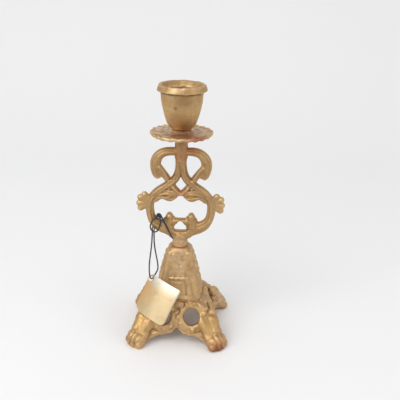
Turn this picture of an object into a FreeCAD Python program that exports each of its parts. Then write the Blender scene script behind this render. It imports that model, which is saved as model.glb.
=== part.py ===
import FreeCAD, Part
import math
import os

# A cast brass candlestick with four paw feet. Millimetres, +Z up, front towards -Y.
# The origin is on the ground, on the axis of the stem.

# Base casting
base_height = 67.5
base_top_half_width = 8.4
base_skirt_half_width = 29.5
base_corner_radius = 9.0
base_corner_limit_share = 0.8
base_wall = 3.6
base_roof = 6.5
# Height, half width and corner radius of the outside, from the top down.
base_section_shares = [
    (1.0, 0.80, 0.72), (0.98, 0.96, 0.80), (0.89, 1.09, 0.62), (0.74, 1.32, 0.50), (0.59, 1.6, 0.50),
    (0.46, 1.93, 0.56), (0.355, 2.36, 0.67), (0.237, 2.81, 0.78), (0.119, 3.21, 0.89)]

# Apron between the feet, with a pointed arch in the middle of each side
arch_half_width = 23.5
arch_height = 12.5
# Share of the half width and of the height: bend by the foot, shoulder, hip beside the peak.
arch_bend_share = (0.788, 0.367)
arch_shoulder_share = (0.47, 0.592)
arch_hip_share = (0.235, 0.675)

# Round lights, two through each side
light_radius = 6.0
light_offset = 10.5
light_height = 20.0
light_lean_deg = 25.0
light_collar_width = 1.9
light_collar_proud = 0.7

# Sunk panels up each side
panel_depth = 0.8
upper_panel_bottom = 46.0
upper_panel_top = 62.0
upper_panel_half_width = 5.6
lower_panel_bottom = 33.0
lower_panel_top = 44.0
lower_panel_half_width = 6.2
panel_taper_share = 0.8

# Stepped leaf ribs up each corner
rib_tier_shares = [(0.93, 0.81), (0.82, 0.65), (0.68, 0.47)]
rib_top_radius = 2.8
rib_bottom_radius = 3.5
rib_proud = 0.35

# Legs and paws, on the diagonals
leg_half_width = 6.6
leg_half_thickness = 5.0
paw_reach = 47.6
paw_width = 17.0
toe_count = 4
toe_radius = 3.2
toe_tip_height = 2.8
toe_root_height = 9.2
toe_root_back = 7.4
toe_fan_share = 0.8
# Distance out from the axis, height, half width and half thickness, from the column to the paw.
leg_shares = [
    (0.36, 0.385, 0.70, 0.80), (0.53, 0.295, 1.05, 0.98), (0.68, 0.205, 1.12, 1.00),
    (0.80, 0.132, 0.92, 0.66), (0.89, 0.074, 0.80, 0.45), (0.94, 0.050, 0.66, 0.32)]

# Knees, towards the left and right sides of the base: ends of one and their radii
knee_place = (25.0, -20.4, 16.2)
knee_radius = 5.4
shin_place = (27.8, -25.2, 10.4)
shin_radius = 4.6

# Stem casting
foot_height = 8.5
foot_radius = 5.9
foot_waist_radius = 5.3
# Outside of the foot from its waist up: share of the foot height and of the waist radius.
foot_shares = [(0.5, 1.0), (0.85, 0.96), (1.08, 0.8), (1.22, 0.45), (1.26, 0.0)]
openwork_height = 64.5
scroll_half_width = 21.5
bar_half_width = 3.0
bar_half_depth = 3.7
neck_radius = 4.5
neck_height = 8.0
neck_root = 7.5
bar_depth_share = 0.35
shell_lobe_radius = 2.3
shell_root_radius = 1.9

# Centre lines of the bars on one side: across, up and half width.
upper_scroll_shares = [
    (0.08, 0.955, 0.97), (0.42, 0.955, 0.97), (0.68, 0.918, 1.10), (0.815, 0.842, 1.25),
    (0.825, 0.767, 1.22), (0.785, 0.70, 1.05), (0.725, 0.655, 0.5)]
scroll_web_shares = [(0.76, 0.765, 0.6), (0.69, 0.72, 0.72), (0.62, 0.675, 0.6)]
crossing_strip_shares = [
    (0.845, 0.842, 0.37), (0.73, 0.787, 0.60), (0.586, 0.716, 0.73), (0.446, 0.651, 0.77),
    (0.288, 0.574, 0.67), (0.121, 0.509, 0.63), (0.01, 0.472, 0.57)]
ring_bar_shares = [
    (0.065, 0.938, 0.77), (0.074, 0.829, 0.77), (0.093, 0.736, 0.83), (0.205, 0.643, 0.97),
    (0.433, 0.578, 0.87), (0.67, 0.518, 0.97), (0.884, 0.45, 1.0), (1.005, 0.364, 0.97),
    (1.014, 0.279, 1.0), (0.958, 0.186, 1.03), (0.80, 0.113, 1.27), (0.558, 0.071, 1.47),
    (0.302, 0.019, 1.2), (0.093, -0.023, 0.87)]
upper_leaf_shares = [
    (0.907, 0.422, 0.60), (0.674, 0.468, 0.83), (0.419, 0.488, 0.93), (0.186, 0.484, 0.73),
    (0.037, 0.477, 0.43)]
lower_leaf_shares = [
    (0.884, 0.402, 0.5), (0.674, 0.437, 0.60), (0.488, 0.434, 0.67), (0.344, 0.418, 0.60),
    (0.235, 0.432, 0.53), (0.12, 0.455, 0.43)]
bud_shares = [
    (0.381, 0.074, 1.43), (0.405, 0.149, 1.27), (0.362, 0.205, 1.07), (0.372, 0.240, 0.80),
    (0.379, 0.262, 0.37)]
web_shares = [(-0.30, 0.158, 0.57), (0.0, 0.161, 0.48), (0.30, 0.158, 0.57)]
ledge_shares = [(-0.30, 0.022, 0.57), (0.0, 0.014, 0.57), (0.30, 0.022, 0.57)]
shell_root_share = (0.967, 0.366)
shell_tip_shares = [(1.19, 0.453), (1.335, 0.417), (1.367, 0.352), (1.326, 0.295)]
# Outline of a bar cut square across: share of the half width and of the half depth.
bar_outline_shares = [
    (0.0, 1.0), (0.66, 0.80), (1.0, 0.0), (0.66, -0.80),
    (0.0, -1.0), (-0.66, -0.80), (-1.0, 0.0), (-0.66, 0.80)]

# Drip pan
pan_radius = 22.0
pan_boss_height = 5.3
pan_scallop_height = 6.0
# Outline from under the neck out to the edge and back up to the boss: shares of radius and height.
pan_shares = [
    (0.33, 0.0), (0.75, 0.11), (0.955, 0.32), (1.0, 0.51), (0.955, 0.70),
    (0.82, 0.51), (0.64, 0.415), (0.436, 0.60), (0.29, 1.0)]
pan_scallops = 22
pan_scallop_depth = 0.7

# Candle cup
cup_height = 30.5
cup_lip_radius = 15.2
cup_skirt_radius = 16.9
cup_skirt_drop = 3.3
cup_neck_radius = 14.6
cup_seat_radius = 5.8
candle_radius = 11.1
candle_clearance = 0.1
socket_length = 12.5
socket_top_drop = 3.4
socket_floor = 6.2
socket_floor_share = 0.75
cup_mouth_radius = 13.8
# Outside of the body from its seat up to the skirt: share of the height and of the neck radius.
cup_body_shares = [(0.03, 0.50), (0.12, 0.68), (0.28, 0.80), (0.50, 0.93)]

# Fixings
stud_radius = 2.5
stud_in_cup = 5.0
stud_in_stem = 5.6
thread_clearance = 0.05
hole_clearance = 0.2
drill_point = 1.5
screw_radius = 2.5
screw_in_stem = 7.0
screw_head_radius = 3.9
screw_head_height = 3.4
screw_slot_width = 1.2
screw_slot_depth = 1.6
washer_radius = 4.7
washer_thickness = 1.2

# Hang tag of curled card, on a thin black cord
tag_width = 27.8
tag_length = 28.6
tag_thickness = 0.4
tag_curl_radius = 60.0
tag_hole_radius = 1.6
tag_hole_from_side = 2.7
tag_hole_from_top = 3.3
tag_corner_radii = [5.0, 0.8, 3.4, 8.0]
tag_lean_deg = 28.0
tag_yaw_deg = 28.0
tag_skew_deg = 13.0
tag_hole_place = (-19.49, -12.9, 45.12)
cord_diameter = 1.0
cord_bend_share = 0.45
# The hitch: up behind the bar of the ring, round the front of it and back the same way.
hitch_route = [
    (-19.65, -5.2, 79.7), (-19.9, -3.4, 80.1), (-20.3, 0.0, 79.2), (-19.3, 4.3, 80.9),
    (-17.6, 5.3, 85.2), (-16.4, 3.6, 88.9), (-15.6, 0.2, 89.4), (-16.4, -3.6, 89.4),
    (-19.2, -4.9, 87.7), (-21.4, -5.0, 83.6), (-20.7, -4.7, 79.8), (-18.0, -4.5, 77.9),
    (-15.5, -4.6, 79.7), (-14.1, -4.9, 83.9), (-13.6, -4.8, 87.6), (-13.9, -3.2, 89.6),
    (-14.1, 0.2, 89.2), (-14.8, 3.6, 88.2), (-16.0, 5.3, 84.6), (-17.9, 4.5, 79.9),
    (-19.1, 0.0, 78.1), (-18.6, -3.4, 79.4), (-18.4, -5.15, 79.7)]
# The drop: a long loop down to the tag, in at the front of its hole and out behind.
drop_route = [
    (-19.6, -5.7, 79.2), (-19.7, -6.4, 74.7), (-19.9, -7.4, 69.4), (-20.6, -8.7, 63.0),
    (-21.3, -10.6, 55.8), (-21.1, -12.9, 49.3), (-20.19, -14.23, 45.92), (-18.87, -11.73, 44.42),
    (-17.2, -10.2, 47.2), (-14.9, -9.9, 51.4), (-15.5, -9.1, 56.9), (-16.85, -8.2, 63.1),
    (-18.0, -7.2, 69.3), (-18.3, -6.4, 74.7), (-18.4, -5.7, 79.2)]
# The two loose ends below the knot, with the turn of cord inside it.
tails_route = [
    (-5.6, -5.4, 75.3), (-7.0, -5.6, 78.0), (-8.8, -5.7, 82.2), (-10.9, -5.5, 86.6),
    (-12.9, -4.6, 90.0), (-14.4, -3.3, 92.3), (-16.4, -3.5, 92.0), (-16.7, -4.8, 90.2),
    (-15.1, -5.8, 88.9), (-12.9, -6.4, 89.2), (-10.8, -6.8, 86.4), (-8.4, -7.0, 81.4),
    (-6.4, -6.9, 77.4), (-4.8, -6.7, 74.7)]
knot_ends = [(-15.3, -2.9, 90.3), (-13.9, -3.0, 91.0)]
knot_radius = 1.3

overrun = 5.0

V = FreeCAD.Vector
ORIGIN = V(0, 0, 0)
UP = V(0, 0, 1)
ACROSS = V(1, 0, 0)
BACK = V(0, 1, 0)

pan_seat = base_height + foot_height + openwork_height + neck_height
cup_seat = pan_seat + pan_boss_height


def rounded_square(half, radius, z):
    """A closed wire: a square with rounded corners, level at height z."""
    flat = half - radius
    bend = half - radius + radius * math.sqrt(0.5)
    edges = []
    for turn in range(4):
        edge_start = V(half, -flat, z)
        edge_end = V(half, flat, z)
        corner_end = V(flat, half, z)
        pieces = [Part.LineSegment(edge_start, edge_end).toShape(),
                  Part.Arc(edge_end, V(bend, bend, z), corner_end).toShape()]
        for piece in pieces:
            piece.rotate(ORIGIN, UP, 90 * turn)
            edges.append(piece)
    return Part.Wire(edges)


def four_sides(shape):
    """The shape and its three quarter turns about the axis."""
    copies = []
    for turn in range(4):
        copy = shape.copy()
        copy.rotate(ORIGIN, UP, 90 * turn)
        copies.append(copy)
    return copies


def body_loft(inset):
    """The tapering square body of the base, drawn in by the inset all round."""
    wires = []
    for height_share, half_share, radius_share in base_section_shares:
        half = base_top_half_width * half_share - inset
        radius = max(base_corner_radius * radius_share - inset, inset)
        radius = min(radius, half * base_corner_limit_share)
        wires.append(rounded_square(half, radius, base_height * height_share))
    radius = base_corner_radius - inset
    wires.append(rounded_square(base_skirt_half_width - inset, radius, 0))
    return Part.makeLoft(wires, True)


def body_half_width(z):
    """Half width of the outside of the base at height z."""
    rows = [(base_height * h, base_top_half_width * s) for h, s, r in base_section_shares]
    rows.append((0, base_skirt_half_width))
    for (top, narrow), (bottom, wide) in zip(rows, rows[1:]):
        if z >= bottom:
            return wide + (narrow - wide) * (z - bottom) / (top - bottom)
    return base_skirt_half_width


def diagonal(reach, side, z):
    """A point on the front right diagonal, a distance out, to one side of it, at a height."""
    share = math.sqrt(0.5)
    return V((reach + side) * share, (side - reach) * share, z)


def capsule(start, start_radius, end, end_radius):
    """A tapering round rod with a rounded end at each side, turned about its own axis."""
    length = (end - start).Length
    lean = math.asin((start_radius - end_radius) / length)
    half_lean = math.radians(45) + lean / 2
    low = V(start_radius * math.cos(lean), 0, start_radius * math.sin(lean))
    low_bend = V(start_radius * math.sin(half_lean), 0, -start_radius * math.cos(half_lean))
    high = V(end_radius * math.cos(lean), 0, length + end_radius * math.sin(lean))
    high_bend = V(end_radius * math.cos(half_lean), 0, length + end_radius * math.sin(half_lean))
    foot, tip = V(0, 0, -start_radius), V(0, 0, length + end_radius)
    edges = [Part.Arc(foot, low_bend, low).toShape(), Part.LineSegment(low, high).toShape(),
             Part.Arc(high, high_bend, tip).toShape(), Part.LineSegment(tip, foot).toShape()]
    rod = Part.Face(Part.Wire(edges)).revolve(ORIGIN, UP, 360)
    rod.Placement = FreeCAD.Placement(start, FreeCAD.Rotation(UP, end - start))
    return rod


def leg():
    """One leg: a loft of rounded sections out along the diagonal, ending in a paw with toes."""
    points = [(paw_reach * reach, base_height * height, leg_half_width * half, leg_half_thickness * thick)
              for reach, height, half, thick in leg_shares]
    sections = []
    for index, (reach, height, half, thick) in enumerate(points):
        before = points[max(index - 1, 0)]
        after = points[min(index + 1, len(points) - 1)]
        run = math.hypot(after[0] - before[0], after[1] - before[1])
        out, rise = (after[0] - before[0]) / run, (after[1] - before[1]) / run
        ring = []
        for side_share, lift_share in bar_outline_shares:
            lift = thick * lift_share
            ring.append(diagonal(reach - rise * lift, half * side_share, height + out * lift))
        sections.append(closed_curve(ring))
    pieces = [Part.makeLoft(sections, True)]
    step = (paw_width - 2 * toe_radius) / (toe_count - 1)
    for toe in range(toe_count):
        side = step * (toe - (toe_count - 1) / 2)
        tip = paw_reach - toe_radius - side * side / paw_width
        root = diagonal(tip - toe_root_back, side * toe_fan_share, toe_root_height)
        pieces.append(capsule(root, toe_radius, diagonal(tip, side, toe_tip_height), toe_radius))
    return pieces


def knees():
    """The four knees, mirrored from the front right one."""
    knee = capsule(V(*knee_place), knee_radius, V(*shin_place), shin_radius)
    pair = [knee, knee.mirror(ORIGIN, ACROSS)]
    return pair + [piece.mirror(ORIGIN, BACK) for piece in pair]


def closed_curve(points):
    """A smooth closed wire through the points."""
    curve = Part.BSplineCurve()
    curve.interpolate(Points=points, PeriodicFlag=True)
    return Part.Wire([curve.toShape()])


def corner_ribs():
    """Leaf ribs on one corner, each tier standing proud of the one below its foot."""
    ribs = []
    for top_share, bottom_share in rib_tier_shares:
        ends = []
        for share, radius in ((top_share, rib_top_radius), (bottom_share, rib_bottom_radius)):
            z = base_height * share
            half = body_half_width(z) - radius + rib_proud
            ends.append((V(half, -half, z), radius))
        ribs.append(capsule(ends[0][0], ends[0][1], ends[1][0], ends[1][1]))
    return ribs


def light_axis():
    """Centre of a round light on the front side, and the way it faces."""
    lean = math.radians(light_lean_deg)
    return body_half_width(light_height), V(0, -math.cos(lean), math.sin(lean))


def lights(radius, proud):
    """Two round bars through the front side, from the hollow out to a little past the face."""
    depth, facing = light_axis()
    inward = base_wall + light_collar_width + overrun
    bars = []
    for side in (-1, 1):
        face = V(side * light_offset, -depth, light_height)
        bars.append(Part.makeCylinder(radius, inward + proud, face - facing * inward, facing))
    return bars


def arch():
    """The space under the front and back aprons, as one bar through the base."""
    left_start, peak = V(-arch_half_width, 0, 0), V(0, 0, arch_height)
    left_bend, left_shoulder, left_hip = (
        V(-arch_half_width * x, 0, arch_height * z)
        for x, z in (arch_bend_share, arch_shoulder_share, arch_hip_share))
    below = V(0, 0, -overrun)
    half = [Part.Arc(left_start, left_bend, left_shoulder).toShape(),
            Part.Arc(left_shoulder, left_hip, peak).toShape()]
    right = [edge.mirror(ORIGIN, ACROSS) for edge in half]
    right_start = V(arch_half_width, 0, 0)
    floor = [Part.LineSegment(left_start, left_start + below).toShape(),
             Part.LineSegment(left_start + below, right_start + below).toShape(),
             Part.LineSegment(right_start + below, right_start).toShape()]
    outline = Part.Wire(Part.__sortEdges__(half + right + floor))
    reach = base_skirt_half_width + overrun
    bar = Part.Face(outline).extrude(V(0, 2 * reach, 0))
    bar.translate(V(0, -reach, 0))
    return bar


def panel(bottom, top, half):
    """A tapering block that marks out one sunk panel on the front side."""
    narrow = half * panel_taper_share
    points = [V(-half, 0, bottom), V(half, 0, bottom), V(narrow, 0, top), V(-narrow, 0, top)]
    face = Part.Face(Part.makePolygon(points + points[:1]))
    return face.extrude(V(0, -base_skirt_half_width - overrun, 0))


def base_casting():
    """The hollow four-footed base, pierced at the sides and drilled for the screw."""
    outside = body_loft(0)
    skin = outside.cut(body_loft(panel_depth))
    added = knees()
    for piece in leg() + corner_ribs():
        added.extend(four_sides(piece))
    for collar in lights(light_radius + light_collar_width, light_collar_proud):
        added.extend(four_sides(collar))
    casting = outside.multiFuse(added)
    hollow = body_loft(base_wall)
    room = Part.makeBox(
        2 * base_skirt_half_width, 2 * base_skirt_half_width, base_height - base_roof + overrun,
        V(-base_skirt_half_width, -base_skirt_half_width, -overrun))
    cuts = [hollow.common(room)]
    for cut in lights(light_radius, overrun) + [
            skin.common(panel(upper_panel_bottom, upper_panel_top, upper_panel_half_width)),
            skin.common(panel(lower_panel_bottom, lower_panel_top, lower_panel_half_width))]:
        cuts.extend(four_sides(cut))
    cuts.extend(four_sides(arch())[:2])
    span = 2 * (paw_reach + overrun)
    cuts.append(Part.makeBox(span, span, 2 * overrun, V(-span / 2, -span / 2, -2 * overrun)))
    cuts.append(Part.makeCylinder(screw_radius + hole_clearance, 2 * base_roof,
                                  V(0, 0, base_height - base_roof - overrun / 2)))
    return casting.cut(cuts)


def placed(shares, side):
    """Points of a centre line in the plane of the stem, on one side, with their half widths."""
    bottom = base_height + foot_height
    return [(side * scroll_half_width * x, bottom + openwork_height * z, bar_half_width * w)
            for x, z, w in shares]


def bar(points):
    """A loft of rounded sections square to a centre line in the plane of the stem."""
    sections = []
    for index, (x, z, half) in enumerate(points):
        before = points[max(index - 1, 0)]
        after = points[min(index + 1, len(points) - 1)]
        along = V(after[0] - before[0], 0, after[1] - before[1]).normalize()
        across = along.cross(BACK)
        depth = bar_half_depth * min(half / bar_half_width + bar_depth_share, 1)
        ring = [V(x, 0, z) + across * (half * u) + BACK * (depth * v) for u, v in bar_outline_shares]
        sections.append(closed_curve(ring))
    return Part.makeLoft(sections, True)


def side_shell(side):
    """The fan of rounded lobes on the outside of the ring."""
    bottom = base_height + foot_height
    x, z = shell_root_share
    root = V(side * scroll_half_width * x, 0, bottom + openwork_height * z)
    lobes = []
    for x, z in shell_tip_shares:
        tip = V(side * scroll_half_width * x, 0, bottom + openwork_height * z)
        spoke = tip - root
        lobes.append(Part.makeCone(shell_root_radius, shell_lobe_radius, spoke.Length, root, spoke))
        lobes.append(Part.makeSphere(shell_lobe_radius, tip))
    return lobes


def stem_casting():
    """The flat openwork stem: scrolls, ring, leaves and shells between a round foot and neck."""
    members = [bar(placed(web_shares, 1)), bar(placed(ledge_shares, 1))]
    for side in (-1, 1):
        for shares in (upper_scroll_shares, scroll_web_shares, crossing_strip_shares, ring_bar_shares,
                       upper_leaf_shares, lower_leaf_shares, bud_shares):
            members.append(bar(placed(shares, side)))
        members.extend(side_shell(side))
    foot = [ORIGIN, V(foot_radius, 0, 0)]
    for height_share, radius_share in foot_shares:
        foot.append(V(foot_waist_radius * radius_share, 0, foot_height * height_share))
    round_foot = Part.Face(Part.makePolygon(foot + foot[:1])).revolve(ORIGIN, UP, 360)
    round_foot.translate(V(0, 0, base_height))
    members.append(round_foot)
    neck_bottom = pan_seat - neck_height - neck_root
    members.append(Part.makeCylinder(neck_radius, neck_height + neck_root, V(0, 0, neck_bottom)))
    casting = members[0].multiFuse(members[1:])
    drills = [Part.makeCylinder(stud_radius + thread_clearance, stud_in_stem + drill_point + overrun,
                                V(0, 0, pan_seat - stud_in_stem - drill_point)),
              Part.makeCylinder(screw_radius + thread_clearance, screw_in_stem + drill_point + overrun,
                                V(0, 0, base_height - overrun))]
    return casting.cut(drills)


def drip_pan():
    """A shallow dish with a boss for the cup and a scalloped edge."""
    outline = [V(0, 0, pan_seat)]
    for radius_share, height_share in pan_shares:
        outline.append(V(pan_radius * radius_share, 0, pan_seat + pan_boss_height * height_share))
    outline.append(V(0, 0, cup_seat))
    dish = Part.Face(Part.makePolygon(outline + outline[:1])).revolve(ORIGIN, UP, 360)
    pitch = 2 * math.pi * pan_radius / pan_scallops
    half_chord = pitch / 4
    notch_radius = (half_chord * half_chord / pan_scallop_depth + pan_scallop_depth) / 2
    cuts = [Part.makeCylinder(stud_radius + hole_clearance, pan_boss_height + 2 * overrun,
                              V(0, 0, pan_seat - overrun))]
    notch = Part.makeCylinder(notch_radius, pan_scallop_height,
                              V(pan_radius + notch_radius - pan_scallop_depth, 0, pan_seat))
    for index in range(pan_scallops):
        copy = notch.copy()
        copy.rotate(ORIGIN, UP, 360 * index / pan_scallops)
        cuts.append(copy)
    return dish.cut(cuts)


def candle_cup():
    """A turned cup with a flared rim, a candle socket and a drilled boss beneath."""
    top = cup_seat + cup_height
    skirt = top - cup_skirt_drop
    bore = candle_radius + candle_clearance
    bore_top = top - socket_top_drop
    bore_bottom = bore_top - socket_length
    floor_z = cup_seat + socket_floor
    body = [V(cup_seat_radius, 0, cup_seat)]
    for height_share, radius_share in cup_body_shares:
        body.append(V(cup_neck_radius * radius_share, 0, cup_seat + cup_height * height_share))
    body.append(V(cup_neck_radius, 0, skirt - cup_skirt_drop / 2))
    curve = Part.BSplineCurve()
    curve.interpolate(Points=body)
    rim = [body[-1], V(cup_skirt_radius, 0, skirt), V(cup_lip_radius, 0, top),
           V(cup_mouth_radius, 0, top), V(bore, 0, bore_top), V(bore, 0, bore_bottom),
           V(bore * socket_floor_share, 0, floor_z), V(0, 0, floor_z), V(0, 0, cup_seat), body[0]]
    edges = [curve.toShape()]
    for start, end in zip(rim, rim[1:]):
        edges.append(Part.LineSegment(start, end).toShape())
    cup = Part.Face(Part.Wire(edges)).revolve(ORIGIN, UP, 360)
    return cup.cut(Part.makeCylinder(stud_radius + thread_clearance, stud_in_cup + overrun,
                                     V(0, 0, cup_seat - overrun)))


def cup_stud():
    """The threaded rod that holds the cup and the pan down on the stem."""
    length = stud_in_cup + pan_boss_height + stud_in_stem - drill_point
    return Part.makeCylinder(stud_radius, length, V(0, 0, pan_seat - stud_in_stem))


def base_screw():
    """The slotted screw up through the roof of the base into the stem."""
    head_bottom = base_height - base_roof - washer_thickness - screw_head_height
    shank_length = base_height + screw_in_stem - head_bottom
    shank = Part.makeCylinder(screw_radius, shank_length, V(0, 0, head_bottom))
    head = Part.makeCylinder(screw_head_radius, screw_head_height, V(0, 0, head_bottom))
    slot = Part.makeBox(2 * screw_head_radius + overrun, screw_slot_width, screw_slot_depth + overrun,
                        V(-screw_head_radius - overrun / 2, -screw_slot_width / 2, head_bottom - overrun))
    return shank.fuse(head).cut(slot)


def base_washer():
    """The plain washer under the head of the screw."""
    bottom = V(0, 0, base_height - base_roof - washer_thickness)
    disc = Part.makeCylinder(washer_radius, washer_thickness, bottom)
    return disc.cut(Part.makeCylinder(screw_radius + hole_clearance, washer_thickness, bottom))


def tag_placement():
    """Where the tag lies: its hole at the origin, its width along X, its face towards +Z."""
    yaw, lean, skew = (math.radians(a) for a in (tag_yaw_deg, tag_lean_deg, tag_skew_deg))
    level = V(math.cos(yaw), -math.sin(yaw), 0)
    facing = V(-math.sin(yaw) * math.cos(lean), -math.cos(yaw) * math.cos(lean), math.sin(lean))
    down = level.cross(facing)
    down = down if down.z < 0 else -down
    wide = level * math.cos(skew) + down * math.sin(skew)
    high = facing.cross(wide)
    return FreeCAD.Placement(V(*tag_hole_place), FreeCAD.Rotation(wide, high, facing, "ZXY"))


def hang_tag():
    """A curled card with rounded corners and a hole near one of them."""
    left, right = -tag_hole_from_side, tag_width - tag_hole_from_side
    top, bottom = tag_hole_from_top, tag_hole_from_top - tag_length
    corners = [(V(left, top, 0), ACROSS, -BACK), (V(right, top, 0), -BACK, -ACROSS),
               (V(right, bottom, 0), -ACROSS, BACK), (V(left, bottom, 0), BACK, ACROSS)]
    arcs = []
    for (corner, on, back), radius in zip(corners, tag_corner_radii):
        centre = corner + (on + back) * radius
        bend = centre - (on + back) * (radius * math.sqrt(0.5))
        arcs.append(Part.Arc(corner + back * radius, bend, corner + on * radius))
    edges = []
    for index, arc in enumerate(arcs):
        edges.append(arc.toShape())
        edges.append(Part.LineSegment(arc.EndPoint, arcs[(index + 1) % 4].StartPoint).toShape())
    blank = Part.Face(Part.Wire(edges)).extrude(V(0, 0, 2 * overrun))
    blank.translate(V(0, 0, -overrun))
    middle = (left + right) / 2
    crown = math.sqrt(tag_curl_radius * tag_curl_radius - middle * middle)
    axis_start = V(middle, bottom - overrun, -crown)
    reach = tag_length + 2 * overrun
    half_thick = tag_thickness / 2
    curl = Part.makeCylinder(tag_curl_radius + half_thick, reach, axis_start, BACK)
    curl = curl.cut(Part.makeCylinder(tag_curl_radius - half_thick, reach, axis_start, BACK))
    card = blank.common(curl)
    card = card.cut(Part.makeCylinder(tag_hole_radius, 2 * overrun, V(0, 0, -overrun)))
    card.Placement = tag_placement().multiply(card.Placement)
    return card


def cord(route, label):
    """A round cord: straight runs joined by arcs as large as the runs allow."""
    points = [V(*place) for place in route]
    radii, edges = [], []
    start = points[0]
    for before, corner, after in zip(points, points[1:], points[2:]):
        into, out = (corner - before).normalize(), (after - corner).normalize()
        turn = into.getAngle(out)
        cut = cord_bend_share * min((corner - before).Length, (after - corner).Length)
        radius = cut / math.tan(turn / 2)
        arc_start, arc_end = corner - into * cut, corner + out * cut
        inward = (out - into).normalize()
        arc_middle = corner + inward * (radius / math.cos(turn / 2) - radius)
        edges.append(Part.LineSegment(start, arc_start).toShape())
        edges.append(Part.Arc(arc_start, arc_middle, arc_end).toShape())
        radii.append(round(radius, 1))
        start = arc_end
    edges.append(Part.LineSegment(start, points[-1]).toShape())
    path = Part.Wire(edges)
    section = Part.Wire(Part.Circle(points[0], points[1] - points[0], cord_diameter / 2).toShape())
    tube = path.makePipeShell([section], True, False)
    expected = math.pi * cord_diameter * cord_diameter / 4 * path.Length
    print(label, "length", round(path.Length, 1), "radii", radii,
          "volume share", round(tube.Volume / expected, 4))
    return tube


def tag_cord_hitch():
    """The cord hitched round the lower left bar of the ring."""
    return cord(hitch_route, "hitch")


def tag_cord_drop():
    """The loop of cord from the hitch down through the tag."""
    return cord(drop_route, "drop")


def tag_cord_tails():
    """The loose ends of the cord."""
    return cord(tails_route, "tails")


def tag_cord_knot():
    """The knot on the inner lip of the ring."""
    return capsule(V(*knot_ends[0]), knot_radius, V(*knot_ends[1]), knot_radius)


nodes = {
    "base_casting": base_casting, "stem_casting": stem_casting, "drip_pan": drip_pan,
    "candle_cup": candle_cup, "cup_stud": cup_stud, "base_screw": base_screw,
    "base_washer": base_washer, "hang_tag": hang_tag, "tag_cord_hitch": tag_cord_hitch,
    "tag_cord_drop": tag_cord_drop, "tag_cord_tails": tag_cord_tails, "tag_cord_knot": tag_cord_knot}

os.makedirs("parts", exist_ok=True)
for name, make in nodes.items():
    shape = make()
    shape.exportStep(os.path.join("parts", name + ".step"))
    print(name, "solids", len(shape.Solids), "valid", shape.isValid(), "volume", round(shape.Volume, 1))
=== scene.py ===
"""Looks of a cast brass candlestick with a card tag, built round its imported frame."""
import functools
from itertools import product
from math import cos, pi, radians, sin, sqrt

import bpy
import numpy as np
from bpy.props import FloatProperty, FloatVectorProperty, IntProperty, PointerProperty
from mathutils import Matrix, Vector


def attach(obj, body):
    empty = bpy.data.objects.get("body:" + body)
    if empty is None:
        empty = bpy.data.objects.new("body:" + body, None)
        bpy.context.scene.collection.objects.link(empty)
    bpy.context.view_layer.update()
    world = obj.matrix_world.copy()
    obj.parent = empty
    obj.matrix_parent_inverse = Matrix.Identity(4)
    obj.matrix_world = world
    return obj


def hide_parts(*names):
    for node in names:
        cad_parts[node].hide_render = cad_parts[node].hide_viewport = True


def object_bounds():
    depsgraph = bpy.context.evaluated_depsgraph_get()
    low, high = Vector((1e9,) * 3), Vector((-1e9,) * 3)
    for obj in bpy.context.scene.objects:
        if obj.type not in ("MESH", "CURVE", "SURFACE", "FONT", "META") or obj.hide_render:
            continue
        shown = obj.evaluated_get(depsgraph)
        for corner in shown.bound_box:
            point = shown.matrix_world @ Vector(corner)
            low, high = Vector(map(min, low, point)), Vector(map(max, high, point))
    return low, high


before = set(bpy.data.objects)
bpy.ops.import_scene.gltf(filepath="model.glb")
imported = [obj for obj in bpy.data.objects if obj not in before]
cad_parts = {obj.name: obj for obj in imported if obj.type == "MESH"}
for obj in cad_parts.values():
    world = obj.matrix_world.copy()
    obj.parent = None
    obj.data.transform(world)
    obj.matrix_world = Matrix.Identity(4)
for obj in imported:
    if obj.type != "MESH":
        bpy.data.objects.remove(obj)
CAD_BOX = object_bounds()

bl_info = {
    "name": "Cast brass candlestick",
    "version": (1, 0, 0),
    "blender": (4, 5, 0),
    "location": "3D View > Sidebar > Candlestick",
    "description": "Builds the castings, cord and tag of a candlestick round its CAD frame",
    "category": "Object",
}

# All tables are in millimetres, in the frame of the CAD model.
MM = 0.001

# Candle cup, half section from the drilled seat over the rim and down to the socket floor.
CUP_SECTION = [
    (0.0, 158.8), (2.55, 158.8), (2.55, 153.8), (5.7, 153.8), (6.6, 154.1), (7.5, 154.8), (8.6, 155.9),
    (9.7, 157.3), (10.7, 159.5), (11.6, 162.4), (12.4, 165.4), (13.3, 168.6), (13.9, 172.0),
    (14.25, 175.0), (14.45, 178.2), (14.6, 179.6), (15.0, 180.05), (16.2, 180.15), (16.8, 180.2),
    (16.95, 180.35), (16.85, 180.8), (16.4, 182.3), (16.0, 183.5), (15.7, 184.1), (15.2, 184.3),
    (14.2, 184.15), (13.7, 183.6), (12.7, 182.4), (11.8, 181.4), (11.3, 180.7), (11.2, 179.7),
    (11.2, 174.5), (11.2, 168.9), (10.9, 167.4), (9.9, 164.4), (8.7, 160.9), (7.9, 160.05), (0.0, 160.0)]
CUP_AROUND = 128
# Dents (height and spacing), waves of the rim (height, count and start), the heights over which both
# fade in above rim and seat, and the radius inside which the socket stays true.
CUP_DENTS = [(0.10, 7.0), (0.05, 2.5)]
CUP_SEED = 3
CUP_RIM_WAVES = [(0.10, 9, 0.7), (0.06, 17, 0.0)]
CUP_RIM_FADE = (178.5, 181.0)
CUP_SEAT_FADE = (154.0, 156.5)
CUP_SOCKET_RADIUS = 11.4

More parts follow.
